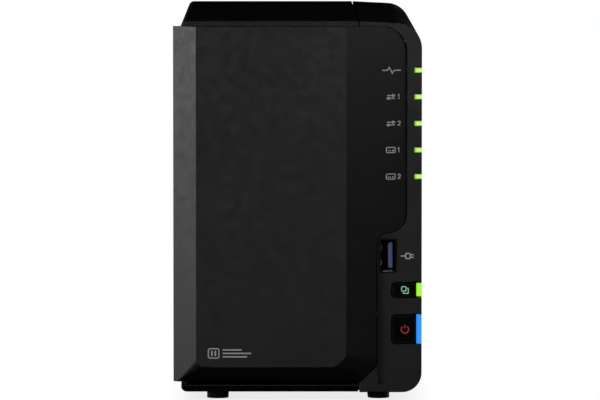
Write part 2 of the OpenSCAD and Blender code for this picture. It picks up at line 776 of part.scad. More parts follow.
module at_fan() {
    translate([fan_x, fan_y, fan_z]) rotate([-90, 0, 0]) children();
}

module fan_frame() color([0.03, 0.03, 0.03]) at_fan() {
    half = fan_size / 2;
    difference() {
        linear_extrude(fan_t) difference() {
            round_rect([-half, -half], [half, half], 4);
            circle(fan_duct_r);
        }
        for (x = [-1, 1], y = [-1, 1]) translate([x, y] * fan_pitch / 2) {
            translate([0, 0, -1]) cylinder(r = 2.15, h = fan_t + 2);
            translate([0, 0, 4]) linear_extrude(fan_t - 8) difference() {
                square(13, center = true);
                circle(3.4);
                translate([-x * 6, -y * 6]) square(9.5, center = true);
            }
        }
    }
    // hub plate, bearing tube and the struts that carry them
    difference() {
        union() {
            translate([0, 0, fan_t - 3]) cylinder(r = 17, h = 3);
            translate([0, 0, fan_t - 16]) cylinder(r = 4.2, h = 14);
            for (a = [0:3]) rotate(45 + a * 90) translate([14, -1.6, fan_t - 3]) cube([31.5, 3.2, 3]);
        }
        translate([0, 0, fan_t - 17]) cylinder(r = 3, h = 15.2);
    }
}

module fan_bearing() color([0.72, 0.55, 0.25]) at_fan() difference() {
    translate([0, 0, fan_t - 16]) cylinder(r = 3, h = 12);
    translate([0, 0, fan_t - 17]) cylinder(r = 1.55, h = 14);
}

module fan_shaft() color([0.8, 0.8, 0.82]) at_fan() translate([0, 0, 3.5]) cylinder(r = 1.5, h = fan_t - 8);

module fan_stator() color([0.7, 0.35, 0.12]) at_fan() difference() {
    translate([0, 0, fan_t - 13]) linear_extrude(7) union() {
        circle(6.5);
        for (a = [0:3]) rotate(a * 90) {
            translate([0, -1.5]) square([12.5, 3]);
            intersection() {
                difference() { circle(13.2); circle(11.6); }
                translate([0, -6]) square([14, 12]);
            }
        }
    }
    cylinder(r = 4.2, h = fan_t);
}

module fan_rotor() color([0.05, 0.05, 0.05]) at_fan() {
    difference() {
        union() {
            difference() {
                translate([0, 0, 1.5]) cylinder(r = fan_hub_r, h = fan_t - 6.5);
                translate([0, 0, 4]) cylinder(r = 14.2, h = fan_t);
            }
            translate([0, 0, 3]) cylinder(r = 3.6, h = 3.5);
        }
        translate([0, 0, 3.5]) cylinder(r = 1.5, h = 4);
    }
    // pitched blades, trimmed to the fan's circle
    intersection() {
        difference() {
            translate([0, 0, 2.2]) cylinder(r = fan_duct_r - 1.3, h = 17);
            translate([0, 0, 2]) cylinder(r = fan_hub_r - 0.7, h = 18);
        }
        for (i = [0 : fan_blades - 1]) rotate(i * 360 / fan_blades)
            translate([15, 0, 10.5]) rotate([38, 0, 0]) translate([0, -12.5, -0.7]) cube([30, 25, 1.4]);
    }
}

// Screw with a round head on the outside of the rear panel and a recess for the driver
module panel_screw(at, head_r, shank_r, length) {
    difference() {
        union() {
            rod_y(at.x, at.y, head_r, panel_y + panel_t, panel_y + panel_t + 1.5);
            rod_y(at.x, at.y, shank_r, panel_y + panel_t - length, panel_y + panel_t + 0.5);
        }
        translate([at.x, panel_y + panel_t + 0.6, at.y]) {
            block([-head_r * 0.55, 0, -0.35], [head_r * 0.55, 2, 0.35]);
            block([-0.35, 0, -head_r * 0.55], [0.35, 2, head_r * 0.55]);
        }
    }
}

module fan_screws() color([0.15, 0.15, 0.16])
    for (x = [-1, 1], z = [-1, 1])
        panel_screw([fan_x + x * fan_pitch / 2, fan_z + z * fan_pitch / 2], 3.8, 2.1, 9);

module case_screws() color([0.15, 0.15, 0.16])
    for (p = case_screw_at) panel_screw(p, 2.9, 1.25, 7);

// Flat bunch of fan leads with its plug on the mainboard
module fan_leads() color([0.04, 0.04, 0.04]) {
    x0 = fan_x + fan_size / 2;
    z0 = fan_z - 38;
    block([x0, fan_y - 3, z0], [x0 + 0.9, fan_y + 8, z0 + 4]);
    block([x0, fan_y - 3, z0], [x0 + 0.9, fan_y - 2.1, z0 + 34]);
    block([x0, fan_y - 15, z0 + 30], [x0 + 0.9, fan_y - 2.1, z0 + 34]);
    block([board_x - 6.5, fan_y - 21, z0 + 27], [board_x, fan_y - 14, z0 + 37]);
}

module board_screws() color([0.75, 0.76, 0.78])
    for (p = board_screw_at) difference() {
        union() {
            rod_x(p[0], p[1], 2.8, board_x - 1.5, board_x);
            rod_x(p[0], p[1], 1.2, board_x - 0.5, right_x - 1);
        }
        for (a = [0, 90]) translate([board_x - 1.6, p[0], p[1]]) rotate([a, 0, 0])
            block([0, -1.5, -0.3], [1, 1.5, 0.3]);
    }

// ---------- nodes ----------

left_shell();
right_shell();
front_frame();
rear_panel();
feet();
cage_left_wall();
cage_middle_wall();
cage_right_wall();
cage_top_plate();
cage_bottom_plate();
tray_guides();
cover_grommets();
front_cover();
status_light_pipes();
copy_light_bar();
power_light_bar();
copy_button();
power_button();
button_switches();
front_board();
indicator_leds();
usb_shells();
usb_tongues();
front_ribbon();
mainboard();
processor();
heatsink();
memory_socket();
board_chips();
board_capacitors();
coin_cell();
coin_cell_holder();
lan_jacks();
power_inlet();
power_inlet_pin();
reset_switch();
reset_plunger();
backplane();
backplane_slot();
drive_connectors();
fan_frame();
fan_rotor();
fan_shaft();
fan_bearing();
fan_stator();
fan_screws();
fan_leads();
case_screws();
board_screws();
at_bay(0) tray_frame();  // tray_1_frame
at_bay(0) tray_handle();  // tray_1_handle
at_bay(0) tray_hinge_pin();  // tray_1_hinge_pin
at_bay(0) tray_fastening_panels();  // tray_1_fastening_panels
at_bay(1) tray_frame();  // tray_2_frame
at_bay(1) tray_handle();  // tray_2_handle
at_bay(1) tray_hinge_pin();  // tray_2_hinge_pin
at_bay(1) tray_fastening_panels();  // tray_2_fastening_panels
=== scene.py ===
"""Looks of the two-bay NAS enclosure: materials, fine pieces, light and camera.

Lengths are in metres, in the same frame as the CAD. Where they are in millimetres, it says so.
"""
import json
import math

import bmesh
import bpy
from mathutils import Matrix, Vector
from mathutils.bvhtree import BVHTree


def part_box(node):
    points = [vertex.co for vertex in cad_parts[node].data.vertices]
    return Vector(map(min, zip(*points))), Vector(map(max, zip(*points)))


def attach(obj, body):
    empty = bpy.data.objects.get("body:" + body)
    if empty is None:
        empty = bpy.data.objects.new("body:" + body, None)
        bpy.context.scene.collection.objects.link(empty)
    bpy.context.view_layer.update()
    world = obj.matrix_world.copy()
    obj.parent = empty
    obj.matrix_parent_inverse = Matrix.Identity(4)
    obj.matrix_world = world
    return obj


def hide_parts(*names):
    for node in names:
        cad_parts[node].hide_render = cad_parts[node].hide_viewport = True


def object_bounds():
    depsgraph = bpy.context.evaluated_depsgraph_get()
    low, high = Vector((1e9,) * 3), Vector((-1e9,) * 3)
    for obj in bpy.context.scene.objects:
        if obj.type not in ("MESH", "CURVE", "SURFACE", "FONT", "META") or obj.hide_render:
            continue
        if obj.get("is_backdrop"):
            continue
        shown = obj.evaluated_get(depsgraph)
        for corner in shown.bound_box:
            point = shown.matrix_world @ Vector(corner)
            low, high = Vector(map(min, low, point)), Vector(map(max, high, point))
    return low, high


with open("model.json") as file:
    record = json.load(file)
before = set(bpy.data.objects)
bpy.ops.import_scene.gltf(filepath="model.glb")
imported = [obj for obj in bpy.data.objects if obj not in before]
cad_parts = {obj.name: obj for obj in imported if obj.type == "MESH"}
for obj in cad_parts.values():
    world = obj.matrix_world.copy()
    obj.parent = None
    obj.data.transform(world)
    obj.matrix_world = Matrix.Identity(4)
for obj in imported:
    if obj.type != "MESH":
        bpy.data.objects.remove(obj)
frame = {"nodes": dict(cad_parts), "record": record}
LO0, HI0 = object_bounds()
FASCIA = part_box("right_shell")[1]
FACE_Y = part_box("right_shell")[0].y
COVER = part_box("front_cover")
NODES = frame["nodes"]
MOUNT = {q["name"]: Vector(q["pos_m"]) for q in frame["record"]["mounts"]}
MM = 0.001

# the middle heights of the five status lights, from the top, in millimetres
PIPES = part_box("status_light_pipes")
PIPE_HALF = 1.2  # half of a light's height
LAMP_STEP = (PIPES[1].z - PIPES[0].z - 2 * PIPE_HALF * MM) / 4 / MM
LAMPS = [PIPES[1].z / MM - PIPE_HALF - i * LAMP_STEP for i in range(5)]


def in_scene(name, data):
    """A new object with this mesh, light or camera."""
    o = bpy.data.objects.new(name, data)
    bpy.context.scene.collection.objects.link(o)
    return o


# ---------- materials ----------

class Tree:
    """A short way to write shader nodes."""

    def __init__(self, owner):
        owner.use_nodes = True
        self.tree = owner.node_tree
        self.tree.nodes.clear()

    def add(self, kind, **props):
        node = self.tree.nodes.new(kind)
        for key, value in props.items():
            setattr(node, key, value)
        return node

    def link(self, a, b):
        self.tree.links.new(a, b)

    def feed(self, socket, value):
        """Puts a number or a colour on a socket, or links an output to it."""
        if isinstance(value, (int, float)):
            socket.default_value = value
        elif isinstance(value, (tuple, list)):
            socket.default_value = (*value[:3], 1)
        else:
            self.link(value, socket)

    def math(self, operation, a, b=None, clamp=False):
        node = self.add("ShaderNodeMath", operation=operation, use_clamp=clamp)
        self.feed(node.inputs[0], a)
        if b is not None:
            self.feed(node.inputs[1], b)
        return node.outputs[0]

    def span(self, value, from_low, from_high, to_low, to_high):
        """Maps one range of a value onto another, and clamps it there."""
        node = self.add("ShaderNodeMapRange")
        self.link(value, node.inputs["Value"])
        node.inputs["From Min"].default_value = from_low
        node.inputs["From Max"].default_value = from_high
        node.inputs["To Min"].default_value = to_low
        node.inputs["To Max"].default_value = to_high
        return node.outputs[0]

    def vary(self, noise, low, high):
        """Spreads a noise, most of which lies between 0.3 and 0.7, from low to high."""
        return self.span(noise, 0.3, 0.7, low, high)

    def mix(self, share, a, b):
        node = self.add("ShaderNodeMix", data_type="RGBA")
        self.feed(node.inputs[0], share)
        self.feed(node.inputs[6], a)
        self.feed(node.inputs[7], b)
        return node.outputs[2]

    def coords(self, scale=(1, 1, 1)):
        source = self.add("ShaderNodeTexCoord")
        node = self.add("ShaderNodeMapping")
        node.inputs["Scale"].default_value = scale
        self.link(source.outputs["Object"], node.inputs["Vector"])
        return node.outputs[0]

    def split(self, vector):
        """The x, y and z of a vector."""
        node = self.add("ShaderNodeSeparateXYZ")
        self.link(vector, node.inputs[0])
        return node.outputs

    def noise(self, where, scale, detail=3, rough=0.55):
        node = self.add("ShaderNodeTexNoise")
        self.link(where, node.inputs["Vector"])
        node.inputs["Scale"].default_value = scale
        node.inputs["Detail"].default_value = detail
        node.inputs["Roughness"].default_value = rough
        return node.outputs[0]

    def bump(self, height, strength, distance, normal=None):
        node = self.add("ShaderNodeBump")
        node.inputs["Strength"].default_value = strength
        node.inputs["Distance"].default_value = distance
        self.link(height, node.inputs["Height"])
        if normal is not None:
            self.link(normal, node.inputs["Normal"])
        return node.outputs[0]

    def rounded(self, radius, samples):
        """The normal that the surface would have with its edges rounded."""
        node = self.add("ShaderNodeBevel", samples=samples)
        node.inputs["Radius"].default_value = radius
        return node.outputs[0]

    def normal(self):
        return self.add("ShaderNodeNewGeometry").outputs["Normal"]

    def edge(self, radius):
        """1 on convex and concave edges, 0 on flats."""
        turn = self.add("ShaderNodeVectorMath", operation="DOT_PRODUCT")
        self.link(self.rounded(radius, 4), turn.inputs[0])
        self.link(self.normal(), turn.inputs[1])
        return self.span(turn.outputs["Value"], 0.995, 0.80, 0.0, 1.0)

    def for_camera(self, seen, lighting, out):
        """One shader for the camera's own rays and another for all others."""
        path = self.add("ShaderNodeLightPath")
        both = self.add("ShaderNodeMixShader")
        self.link(path.outputs["Is Camera Ray"], both.inputs[0])
        self.link(lighting.outputs[0], both.inputs[1])
        self.link(seen.outputs[0], both.inputs[2])
        self.link(both.outputs[0], out.inputs[0])


MATS = {}
PATCHES = 28  # noise scale of a surface's widest patches
CLOUDS = 240  # noise scale of the patches within them
PIT_SHARE = 0.25  # how much of the darker colour shows in the pits of the grain
WORN_SMOOTH = 0.14  # how much smoother a fully worn edge is
GRAZE = (0.78, 0.92)  # facing values between which the shine fades
RIM_WIDTH = 0.0040  # the fascia's outer edge, which has a small radius
RIM_HEIGHT = 0.0105  # the fascia's lower edge, which has it too
LENS_SIDE = (0.0005, 0.0011)  # distances from a light's middle height where its colour deepens
LENS_END = (0.0009, 0.0012)  # and where it goes nearly dark
LENS_INBOARD = (0.0014, 0.0022)  # distances from its inboard end where its colour deepens


def scaled(colour, factor, plus=0.0):
    return tuple(min(1, c * factor + plus) for c in colour)


def material(name):
    """A new material with one principled shader."""
    mat = bpy.data.materials.new(name)
    t = Tree(mat)
    out = t.add("ShaderNodeOutputMaterial")
    shader = t.add("ShaderNodeBsdfPrincipled")
    t.link(shader.outputs[0], out.inputs[0])
    MATS[name] = mat
    return t, shader


def fascia_edge(t, radius):
    """The normal, turned away in a small radius along the fascia's outer and lower edges."""
    x, _, z = t.split(t.coords())
    outer = t.math("GREATER_THAN", x, FASCIA.x - RIM_WIDTH)
    lower = t.math("LESS_THAN", z, RIM_HEIGHT)
    node = t.add("ShaderNodeMix", data_type="VECTOR")
    t.link(t.math("MAXIMUM", outer, lower), node.inputs[0])
    t.link(t.normal(), node.inputs[4])
    t.link(t.rounded(radius, 6), node.inputs[5])
    return node.outputs[1]


def surface(name, base, rough, grain=1600, grain_depth=0.02, spread=0.1, wear=0.0, wear_col=None,
            metallic=0.0, spec=0.5, stretch=(1, 1, 1), mottle=0.08, coat=0.0, edge_r=0.0005,
            graze=None, round_edge=None, extra=None):
    """A moulded, cast, rolled or painted surface: grain in the bump, patches in colour and
    roughness, wear on edges. grain_depth is in millimetres. graze is the share of the shine
    that is left along the surface, round_edge the radius of the fascia's edges."""
    t, shader = material(name)
    where = t.coords(stretch)
    big = t.noise(where, PATCHES, 4)
    mid = t.noise(where, CLOUDS, 3)
    fine = t.noise(where, grain, 2, 0.5)
    colour = t.mix(t.vary(big, 0, 1), scaled(base, 1 - mottle), scaled(base, 1 + mottle))
    pits = t.math("MULTIPLY", t.span(fine, 0.35, 0.65, 0, 1), PIT_SHARE)
    colour = t.mix(pits, colour, scaled(base, 0.8))
    cloudy = t.vary(mid, rough - spread / 2, rough + spread / 2)
    roughness = t.math("ADD", cloudy, t.vary(big, -spread / 4, spread / 4))
    if wear:
        worn = t.math("MULTIPLY", t.edge(edge_r), t.span(mid, 0.4, 0.62, 0.25, 1.0), clamp=True)
        worn = t.math("MULTIPLY", worn, wear)
        colour = t.mix(worn, colour, wear_col or scaled(base, 2.2, 0.01))
        roughness = t.math("SUBTRACT", roughness, t.math("MULTIPLY", worn, WORN_SMOOTH), clamp=True)
    shine = spec
    if extra:
        colour, roughness, shine = extra(t, where, colour, roughness)
    if graze is not None:
        angle = t.add("ShaderNodeLayerWeight")
        angle.inputs["Blend"].default_value = 0.5
        shine = t.span(angle.outputs["Facing"], *GRAZE, spec, spec * graze)
    t.link(colour, shader.inputs["Base Color"])
    t.link(roughness, shader.inputs["Roughness"])
    shader.inputs["Metallic"].default_value = metallic
    t.feed(shader.inputs["Specular IOR Level"], shine)
    shader.inputs["Coat Weight"].default_value = coat
    normal = fascia_edge(t, round_edge) if round_edge else None
    normal = t.bump(fine, 0.35, grain_depth * MM, normal)
    normal = t.bump(mid, 0.12, 0.05 * MM, normal)
    t.link(normal, shader.inputs["Normal"])


def circuit(name, base):
    """Solder mask with a grid of traces and pads under it."""
    def tracks(t, where, colour, roughness):
        brick = t.add("ShaderNodeTexBrick", offset=0.37, squash=1.7, squash_frequency=3)
        t.link(where, brick.inputs["Vector"])
        brick.inputs["Scale"].default_value = 260
        brick.inputs["Mortar Size"].default_value = 0.035
        t.feed(brick.inputs["Color1"], base)
        t.feed(brick.inputs["Color2"], scaled(base, 0.8))
        t.feed(brick.inputs["Mortar"], scaled(base, 2.0, 0.01))
        dots = t.add("ShaderNodeTexVoronoi")
        t.link(where, dots.inputs["Vector"])
        dots.inputs["Scale"].default_value = 330
        pads = t.span(dots.outputs["Distance"], 0.14, 0.10, 0, 1)
        traced = t.mix(0.6, colour, brick.outputs["Color"])
        tinned = t.mix(t.math("MULTIPLY", pads, 0.8), traced, (0.55, 0.5, 0.36))
        return tinned, roughness, 0.5
    surface(name, base, 0.32, grain=900, grain_depth=0.01, extra=tracks, coat=0.2)


def lens(name, tint, glow, rim, strength, column=None):
    """A lit light pipe: a bright core, with deeper colour on its edges. column is for pipes
    above each other: where their lit part starts in x, the height of one and their pitch."""
    t, shader = material(name)
    where = t.coords()
    cloud = t.noise(where, 420, 3)
    t.link(t.mix(cloud, scaled(tint, 0.6), tint), shader.inputs["Base Color"])
    t.link(t.vary(cloud, 0.20, 0.36), shader.inputs["Roughness"])
    side = t.edge(0.0005)
    if column:
        lit_from, height, pitch = column
        x, _, z = t.split(where)
        off = t.math("PINGPONG", t.math("SUBTRACT", z, height), pitch / 2)
        side = t.math("MAXIMUM", side, t.span(off, *LENS_SIDE, 0, 0.9))
        inboard = t.span(x, *(lit_from + d for d in LENS_INBOARD), 0.9, 0)
        side = t.math("MAXIMUM", side, inboard)
    colour = t.mix(side, glow, rim)
    if column:
        colour = t.mix(t.span(off, *LENS_END, 0, 0.9), colour, scaled(rim, 0.05))
        colour = t.mix(t.math("GREATER_THAN", x, lit_from), scaled(glow, 0.004), colour)
    t.link(colour, shader.inputs["Emission Color"])
    shader.inputs["Emission Strength"].default_value = strength
    t.link(t.bump(cloud, 0.1, 0.02 * MM), shader.inputs["Normal"])


def painted_shade_by_depth(near, far, dark):
    """Painted shade: darkens what lies in the front half, more and more from y = near to y = far, and
    makes it rougher and less shiny there.
    """
    def darker(t, where, colour, roughness):
        y = t.split(t.coords())[1]
        share = t.math("MULTIPLY", t.span(y, near, far, 0, 1), t.math("LESS_THAN", y, 0.0))
        rougher = t.math("MAXIMUM", roughness, t.math("MULTIPLY", share, 0.6))
        # painted shade: the colour goes towards dark, the shine down
        return t.mix(share, colour, dark), rougher, t.span(share, 0, 1, 0.5, 0.12)
    return darker


surface("shell_plastic", (0.0060, 0.0060, 0.0063), 0.52, grain=1500, grain_depth=0.035, wear=0.5,
        graze=0.15)
surface("fascia_plastic", (0.0075, 0.0075, 0.0078), 0.50, grain=1500, grain_depth=0.03, wear=0.45,
        graze=0.15, round_edge=0.0009)
surface("cover_plastic", (0.0075, 0.0075, 0.0077), 0.46, grain=1300, grain_depth=0.03, wear=0.5,
        mottle=0.10)
surface("frame_plastic", (0.020, 0.020, 0.021), 0.55, grain=1100, wear=0.4)
surface("panel_steel", (0.013, 0.013, 0.014), 0.42, grain=2200, grain_depth=0.05, wear=0.7,
        wear_col=(0.12, 0.12, 0.12), coat=0.15)
# the cage's front edges, which lie in the shade behind the cover, get painted shade
surface("cage_steel", (0.52, 0.53, 0.54), 0.36, grain=500, stretch=(1, 0.04, 1), metallic=1.0,
        wear=0.4, wear_col=(0.8, 0.8, 0.8), mottle=0.16, spread=0.16,
        extra=painted_shade_by_depth(-0.0935, -0.0955, (0.006, 0.006, 0.006)))
surface("foot_rubber", (0.012, 0.012, 0.012), 0.86, grain=1900, grain_depth=0.05, wear=0.4, spec=0.25)
surface("grommet_rubber", (0.02, 0.02, 0.02), 0.8, grain=1900, grain_depth=0.04, spec=0.25)
surface("guide_plastic", (0.04, 0.04, 0.042), 0.48, wear=0.5, stretch=(1, 0.3, 1))
surface("tray_plastic", (0.026, 0.026, 0.028), 0.5, wear=0.6, grain_depth=0.025)
surface("handle_plastic", (0.045, 0.045, 0.048), 0.36, wear=0.6, coat=0.1)
surface("strip_plastic", (0.075, 0.08, 0.09), 0.45, wear=0.5)
surface("button_plastic", (0.0014, 0.0015, 0.0014), 0.42, grain=1700, wear=0.3, spec=0.05)
surface("button_frame", (0.0015, 0.0015, 0.0015), 0.30, grain=1700, grain_depth=0.01, wear=0.4,
        wear_col=(0.02, 0.02, 0.02), spec=0.1)
lens("status_lens", (0.02, 0.05, 0.01), (0.57, 0.90, 0.16), (0.08, 0.34, 0.01), 1.0,
     column=(FASCIA.x - 0.0044, LAMPS[0] * MM, LAMP_STEP * MM))
lens("copy_lens", (0.02, 0.05, 0.01), (0.36, 0.93, 0.035), (0.12, 0.50, 0.01), 1.0)
lens("power_lens", (0.005, 0.02, 0.05), (0.022, 0.29, 0.92), (0.01, 0.12, 0.50), 1.0)
circuit("circuit_board", (0.010, 0.075, 0.030))
surface("chip_plastic", (0.018, 0.018, 0.019), 0.5, grain=1900, wear=0.3)
surface("socket_plastic", (0.022, 0.022, 0.022), 0.42, wear=0.4)
surface("metal_lid", (0.62, 0.63, 0.65), 0.32, grain=420, stretch=(1, 1, 0.08), metallic=1.0, wear=0.4)
surface("capacitor_can", (0.62, 0.63, 0.66), 0.28, grain=700, metallic=1.0, wear=0.3)
# painted shade on the front socket's metal: darker from 6 mm before the fascia's face, full 1 mm behind
# it
surface("connector_shell", (0.62, 0.61, 0.59), 0.25, grain=800, metallic=1.0, wear=0.5,
        wear_col=(0.85, 0.84, 0.82), mottle=0.14,
        extra=painted_shade_by_depth(FACE_Y - 0.006, FACE_Y + 0.0010, (0.03, 0.03, 0.03)))
# painted shade on the socket's tongue, deeper in from the face; its wear settings paint its edges and
# corners darker, near black-blue
surface("usb_insulator", (0.11, 0.20, 0.62), 0.34, grain=900, wear=1.0,
        wear_col=(0.01, 0.02, 0.14), edge_r=0.0007,
        extra=painted_shade_by_depth(FACE_Y + 0.003, FACE_Y + 0.009, (0.002, 0.002, 0.003)))
surface("led_package", (0.7, 0.72, 0.6), 0.3)
surface("ribbon_film", (0.5, 0.5, 0.46), 0.4, stretch=(1, 1, 8), mottle=0.2)
surface("cell_steel", (0.6, 0.6, 0.62), 0.24, metallic=1.0, wear=0.4)
surface("screw_steel", (0.07, 0.07, 0.075), 0.34, metallic=1.0, wear=0.9, wear_col=(0.4, 0.4, 0.4))
surface("pin_steel", (0.6, 0.61, 0.62), 0.2, metallic=1.0, wear=0.4)
surface("bearing_bronze", (0.5, 0.33, 0.13), 0.4, metallic=1.0, grain=2200)
surface("winding_copper", (0.55, 0.19, 0.06), 0.3, metallic=1.0, stretch=(1, 1, 6), grain=1500)
surface("fan_plastic", (0.012, 0.012, 0.0125), 0.45, wear=0.4)
surface("reset_plastic", (0.45, 0.04, 0.03), 0.4, wear=0.3)
surface("wire_sleeve", (0.012, 0.012, 0.012), 0.6, stretch=(1, 6, 1))
surface("print_grey", (0.80, 0.80, 0.79), 0.5, grain=2500, grain_depth=0.01, mottle=0.05)
surface("spring_steel", (0.30, 0.29, 0.28), 0.34, metallic=1.0, wear=0.4, mottle=0.12)
surface("gold_contact", (0.83, 0.6, 0.24), 0.22, metallic=1.0, grain=900)
lens("icon_green", (0.2, 0.4, 0.25), (0.33, 0.72, 0.40), (0.06, 0.25, 0.09), 0.9)
lens("icon_red", (0.2, 0.01, 0.01), (0.42, 0.022, 0.032), (0.20, 0.008, 0.01), 1.0)


def paint(o, mat):
    o.data.materials.clear()
    o.data.materials.append(MATS[mat])


# ---------- CAD nodes: material, and round edges where the real part has them ----------

SLOT = {s["node"]: s["material_slot"] for s in frame["record"]["subparts"]}

BEVEL = {  # width in millimetres, lowest angle in degrees
    "left_shell": (0.3, 40),
    "right_shell": (0.15, 40),
    "front_frame": (0.3, 40),
    "rear_panel": (0.12, 50),
    "feet": (0.5, 45),
    "copy_button": (0.3, 40),
    "power_button": (0.35, 40),
    "copy_light_bar": (0.2, 40),
    "power_light_bar": (0.2, 40),
    "status_light_pipes": (0.2, 40),
    "tray_1_frame": (0.25, 45),
    "tray_2_frame": (0.25, 45),
    "tray_1_handle": (0.4, 45),
    "tray_2_handle": (0.4, 45),
    "tray_1_fastening_panels": (0.3, 45),
    "tray_2_fastening_panels": (0.3, 45),
    "cage_left_wall": (0.15, 50),
    "cage_middle_wall": (0.15, 50),
    "cage_right_wall": (0.15, 50),
    "cage_top_plate": (0.15, 50),
    "cage_bottom_plate": (0.15, 50),
    "fan_frame": (0.4, 50),
    "lan_jacks": (0.15, 50),
    "usb_shells": (0.08, 50),
    "usb_tongues": (0.15, 50),
    "power_inlet": (0.2, 50),
    "cover_grommets": (0.2, 50),
    "tray_guides": (0.3, 50),
    "heatsink": (0.15, 50),
    "board_chips": (0.1, 50),
    "memory_socket": (0.15, 50),
    "backplane_slot": (0.2, 50),
    "drive_connectors": (0.2, 50),
    "board_capacitors": (0.35, 50),
    "processor": (0.15, 50),
    "coin_cell": (0.25, 50),
}
SAME_POINT = 2e-6  # points of a CAD mesh this close are one


def soften(o, width, angle):
    weld = o.modifiers.new("weld", "WELD")
    weld.merge_threshold = SAME_POINT
    bevel = o.modifiers.new("round", "BEVEL")
    bevel.width = width * MM
    bevel.segments = 2
    bevel.limit_method = "ANGLE"
    bevel.angle_limit = math.radians(angle)
    bevel.harden_normals = True
    bevel.use_clamp_overlap = True
    bevel.miter_outer = "MITER_ARC"


for name, o in NODES.items():
    paint(o, SLOT[name])
    if name in BEVEL:
        soften(o, *BEVEL[name])


# ---------- mesh helpers ----------

def finished(name, me, mat, body, smooth=None):
    """Puts a mesh in the scene as a piece of a body, shaded smooth under an angle in degrees."""
    if smooth is not None:
        me.polygons.foreach_set("use_smooth", [True] * len(me.polygons))
        me.set_sharp_from_angle(angle=math.radians(smooth))
    o = in_scene(name, me)
    paint(o, mat)
    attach(o, body)
    return o


def new(name, verts, faces, mat, body, smooth=None):
    me = bpy.data.meshes.new(name)
    me.from_pydata([tuple(v) for v in verts], [], faces)
    me.validate()
    bm = bmesh.new()
    bm.from_mesh(me)
    bmesh.ops.remove_doubles(bm, verts=bm.verts, dist=1e-7)
    bmesh.ops.recalc_face_normals(bm, faces=bm.faces)
    bm.to_mesh(me)
    bm.free()
    return finished(name, me, mat, body, smooth)


# ---------- the front cover, with the edges between its facets rounded ----------

WIDE_ROUND = 0.0012  # how far the rounding reaches from an edge between facets
FINE_ROUND = 0.0004  # and from an edge of the plateau
GAP_CLOSED = 0.00025  # how much nearer the cover comes to the shell's top edge
RIGHT_FORWARD = 0.067  # how far forward the right facet comes, for each metre to the right
PEG_START = 0.006  # further behind the fascia's face than this, the pegs stay in place


def refined_cover():
    me = bpy.data.meshes.new("cover_face")
    bm = bmesh.new()
    bm.from_mesh(NODES["front_cover"].data)
    bmesh.ops.remove_doubles(bm, verts=bm.verts, dist=SAME_POINT)
    bmesh.ops.dissolve_limit(bm, angle_limit=math.radians(0.6), verts=bm.verts, edges=bm.edges)
    plateau = COVER[0].y + 0.0001

    def facet(f):
        return f.normal.y < -0.3

    fine, wide = [], []
    for e in bm.edges:
        if len(e.link_faces) != 2 or not all(facet(f) for f in e.link_faces):
            continue
        turn = math.degrees(e.link_faces[0].normal.angle(e.link_faces[1].normal))
        on_plateau = all(abs(v.co.y - plateau) < 0.0002 for v in e.verts)
        if on_plateau and turn > 8:
            fine.append(e)
        elif turn > 15 and (e.verts[0].co - e.verts[1].co).length > 0.004:
            wide.append(e)
    for edges, radius, segments in ((wide, WIDE_ROUND, 4), (fine, FINE_ROUND, 2)):
        bmesh.ops.bevel(bm, geom=[e for e in edges if e.is_valid], offset=radius,
                        offset_type="OFFSET", segments=segments, profile=0.5, affect="EDGES",
                        clamp_overlap=True)
    flat = [f for f in bm.faces if f.normal.y < -0.999 and f.calc_center_median().y < plateau]
    bend = max(v.co.x for f in flat for v in f.verts)
    for v in bm.verts:
        if v.co.z > COVER[1].z - 0.0001:
            v.co.z += GAP_CLOSED
        if v.co.x > bend and v.co.y < FACE_Y + PEG_START:
            v.co.y -= RIGHT_FORWARD * (v.co.x - bend)
    bm.to_mesh(me)
    bm.free()
    o = finished("cover_face", me, "cover_plastic", "front_cover", 22)
    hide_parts("front_cover")
    normals = o.modifiers.new("normals", "WEIGHTED_NORMAL")
    normals.keep_sharp = True
    return o


# ---------- printed and lit marks, in millimetres ----------

def ray_tree(o):
    points = [v.co.copy() for v in o.data.vertices]
    return BVHTree.FromPolygons(points, [tuple(p.vertices) for p in o.data.polygons])


TREES = {n: ray_tree(NODES[n]) for n in ("right_shell", "copy_button", "power_button", "rear_panel")}
TREES["front_cover"] = ray_tree(refined_cover())
OUTSIDE = 0.3  # metres, further out than any piece reaches


def front_hit(node, x, z, back=False):
    """The point and the normal of a node's front or back at x, z in millimetres."""
    y, way = (OUTSIDE, -1) if back else (-OUTSIDE, 1)
    return TREES[node].ray_cast(Vector((x * MM, y, z * MM)), Vector((0, way, 0)))[:2]


